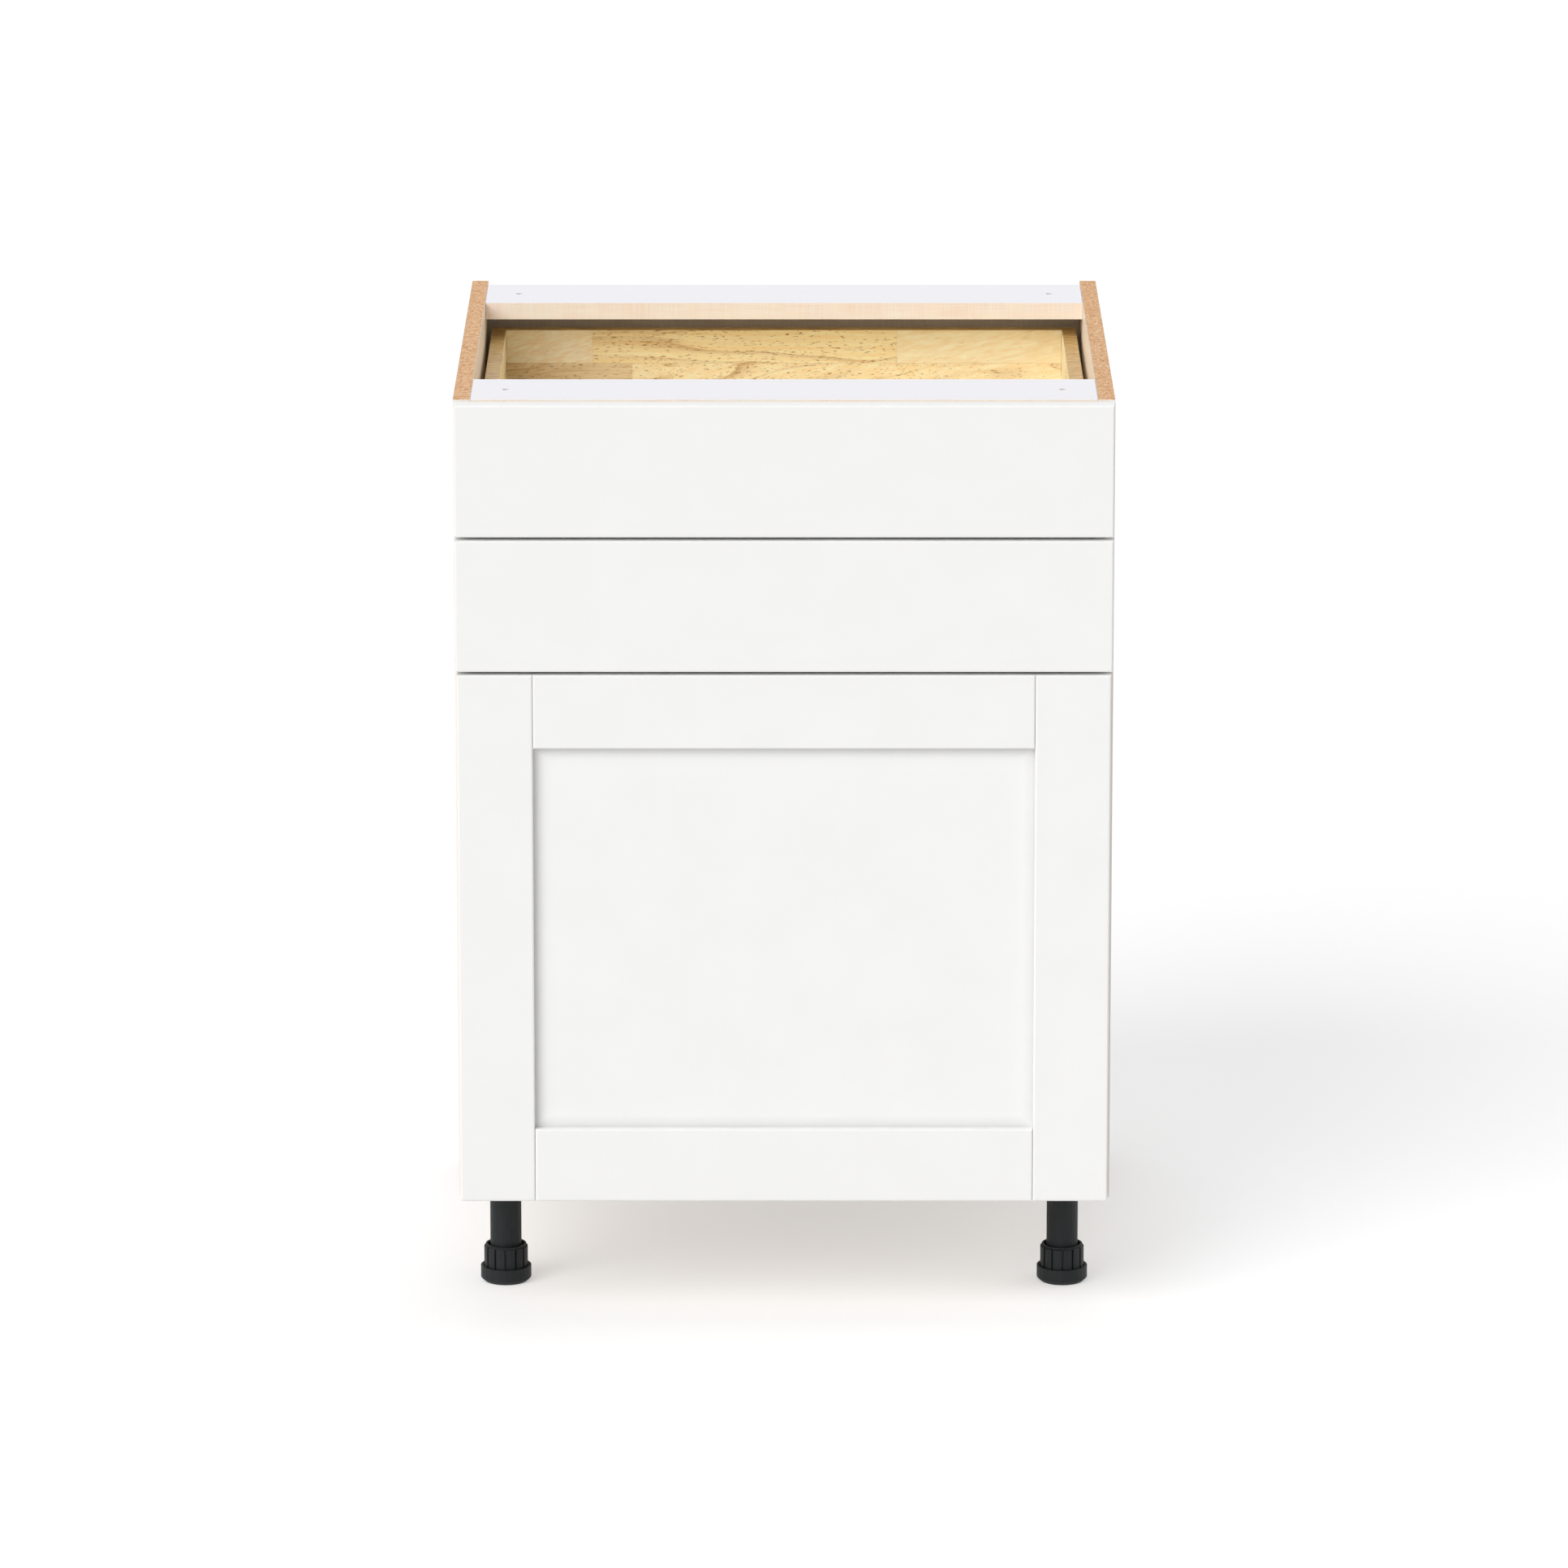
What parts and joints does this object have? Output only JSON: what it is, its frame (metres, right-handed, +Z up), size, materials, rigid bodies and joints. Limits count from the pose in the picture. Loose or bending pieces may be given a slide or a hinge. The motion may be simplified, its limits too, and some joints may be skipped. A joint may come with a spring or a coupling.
{
  "type": "base cabinet with drawers",
  "caption": "Frameless base cabinet: slab-fronted drawers on undermount slides over a framed door on cup hinges, adjustable shelf inside, open top for a worktop, levelling legs.",
  "frame": {"origin": "on the floor, under the middle of the cabinet's outline with its fronts closed", "axes": "+X to the right seen from the front, -Y out of the fronts, +Z up"},
  "size_m": [0.6096, 0.6096, 0.8763],
  "materials": {
    "white_melamine": "white melamine-faced particleboard, raw edges on top, cream linen print inside",
    "cream_linen": "particleboard faced with cream laminate printed as fine linen",
    "white_paint": "satin white painted fibreboard with softly rounded edges",
    "rubberwood": "clear-lacquered finger-jointed rubberwood",
    "zinc_steel": "zinc-plated pressed steel",
    "black_plastic": "moulded black plastic, fine matt texture"
  },
  "bodies": {
    "carcass": {"side_panel_left": "white_melamine", "side_panel_right": "white_melamine", "bottom_panel": "cream_linen", "back_panel": "cream_linen", "stretcher_front": "white_melamine", "stretcher_back": "white_melamine", "shelf": "cream_linen", "shelf_pin_front_left": "zinc_steel", "shelf_pin_back_left": "zinc_steel", "shelf_pin_front_right": "zinc_steel", "shelf_pin_back_right": "zinc_steel", "top_slide_left_cabinet_rail": "zinc_steel", "top_slide_right_cabinet_rail": "zinc_steel", "middle_slide_left_cabinet_rail": "zinc_steel", "middle_slide_right_cabinet_rail": "zinc_steel", "hinge_upper_arm": "zinc_steel", "hinge_lower_arm": "zinc_steel", "leg_front_left_socket": "black_plastic", "leg_front_left_tube": "black_plastic", "leg_front_right_socket": "black_plastic", "leg_front_right_tube": "black_plastic", "leg_rear_left_socket": "black_plastic", "leg_rear_left_tube": "black_plastic", "leg_rear_right_socket": "black_plastic", "leg_rear_right_tube": "black_plastic"},
    "top_drawer": {"top_drawer_front": "white_paint", "top_drawer_box_front": "rubberwood", "top_drawer_box_back": "rubberwood", "top_drawer_bottom": "rubberwood", "top_drawer_side_left": "rubberwood", "top_drawer_side_right": "rubberwood", "top_slide_left_drawer_rail": "zinc_steel", "top_slide_right_drawer_rail": "zinc_steel"},
    "top_middle_rails": {"top_slide_left_middle_rail": "zinc_steel", "top_slide_right_middle_rail": "zinc_steel"},
    "middle_drawer": {"middle_drawer_front": "white_paint", "middle_drawer_box_front": "rubberwood", "middle_drawer_box_back": "rubberwood", "middle_drawer_bottom": "rubberwood", "middle_drawer_side_left": "rubberwood", "middle_drawer_side_right": "rubberwood", "middle_slide_left_drawer_rail": "zinc_steel", "middle_slide_right_drawer_rail": "zinc_steel"},
    "middle_middle_rails": {"middle_slide_left_middle_rail": "zinc_steel", "middle_slide_right_middle_rail": "zinc_steel"},
    "door": {"door_stile_left": "white_paint", "door_stile_right": "white_paint", "door_rail_top": "white_paint", "door_rail_bottom": "white_paint", "door_panel": "white_paint", "hinge_upper_cup": "zinc_steel", "hinge_lower_cup": "zinc_steel"},
    "hinge_cranks": {"hinge_upper_crank": "zinc_steel", "hinge_lower_crank": "zinc_steel"},
    "hinge_couplers": {"hinge_upper_coupler": "zinc_steel", "hinge_lower_coupler": "zinc_steel"},
    "foot_front_left": {"leg_front_left_foot": "black_plastic"},
    "foot_front_right": {"leg_front_right_foot": "black_plastic"},
    "foot_rear_left": {"leg_rear_left_foot": "black_plastic"},
    "foot_rear_right": {"leg_rear_right_foot": "black_plastic"}
  },
  "joints": [
    {"name": "top_drawer_slide", "type": "slide", "parent": "carcass", "child": "top_drawer", "axis": [0, -1, 0], "range_m": [0, 0.51]},
    {"name": "top_middle_rail_slide", "type": "slide", "parent": "carcass", "child": "top_middle_rails", "axis": [0, -1, 0], "range_m": [0, 0.255]},
    {"name": "middle_drawer_slide", "type": "slide", "parent": "carcass", "child": "middle_drawer", "axis": [0, -1, 0], "range_m": [0, 0.51]},
    {"name": "middle_middle_rail_slide", "type": "slide", "parent": "carcass", "child": "middle_middle_rails", "axis": [0, -1, 0], "range_m": [0, 0.255]},
    {"name": "door_hinge", "type": "hinge", "parent": "carcass", "child": "door", "pos_m": [-0.2978, -0.2951, 0.3683], "axis": [0, 0, -1], "range_deg": [0, 100]},
    {"name": "hinge_crank_pivot", "type": "hinge", "parent": "carcass", "child": "hinge_cranks", "pos_m": [-0.2808, -0.2873, 0.3683], "axis": [0, 0, -1], "range_deg": [0, 100]},
    {"name": "hinge_coupler_pivot", "type": "hinge", "parent": "hinge_cranks", "child": "hinge_couplers", "pos_m": [-0.2708, -0.2865, 0.3683], "axis": [0, 0, 1], "range_deg": [0, 100]},
    {"name": "foot_front_left_adjust", "type": "slide", "parent": "carcass", "child": "foot_front_left", "axis": [0, 0, -1], "range_m": [-0.01, 0.01]},
    {"name": "foot_front_right_adjust", "type": "slide", "parent": "carcass", "child": "foot_front_right", "axis": [0, 0, -1], "range_m": [-0.01, 0.01]},
    {"name": "foot_rear_left_adjust", "type": "slide", "parent": "carcass", "child": "foot_rear_left", "axis": [0, 0, -1], "range_m": [-0.01, 0.01]},
    {"name": "foot_rear_right_adjust", "type": "slide", "parent": "carcass", "child": "foot_rear_right", "axis": [0, 0, -1], "range_m": [-0.01, 0.01]}
  ],
  "couplings": [
    {"joint": "top_middle_rail_slide", "follows": "top_drawer_slide", "ratio": 0.5},
    {"joint": "middle_middle_rail_slide", "follows": "middle_drawer_slide", "ratio": 0.5},
    {"joint": "hinge_crank_pivot", "follows": "door_hinge", "ratio": 1},
    {"joint": "hinge_coupler_pivot", "follows": "door_hinge", "ratio": 1}
  ]
}
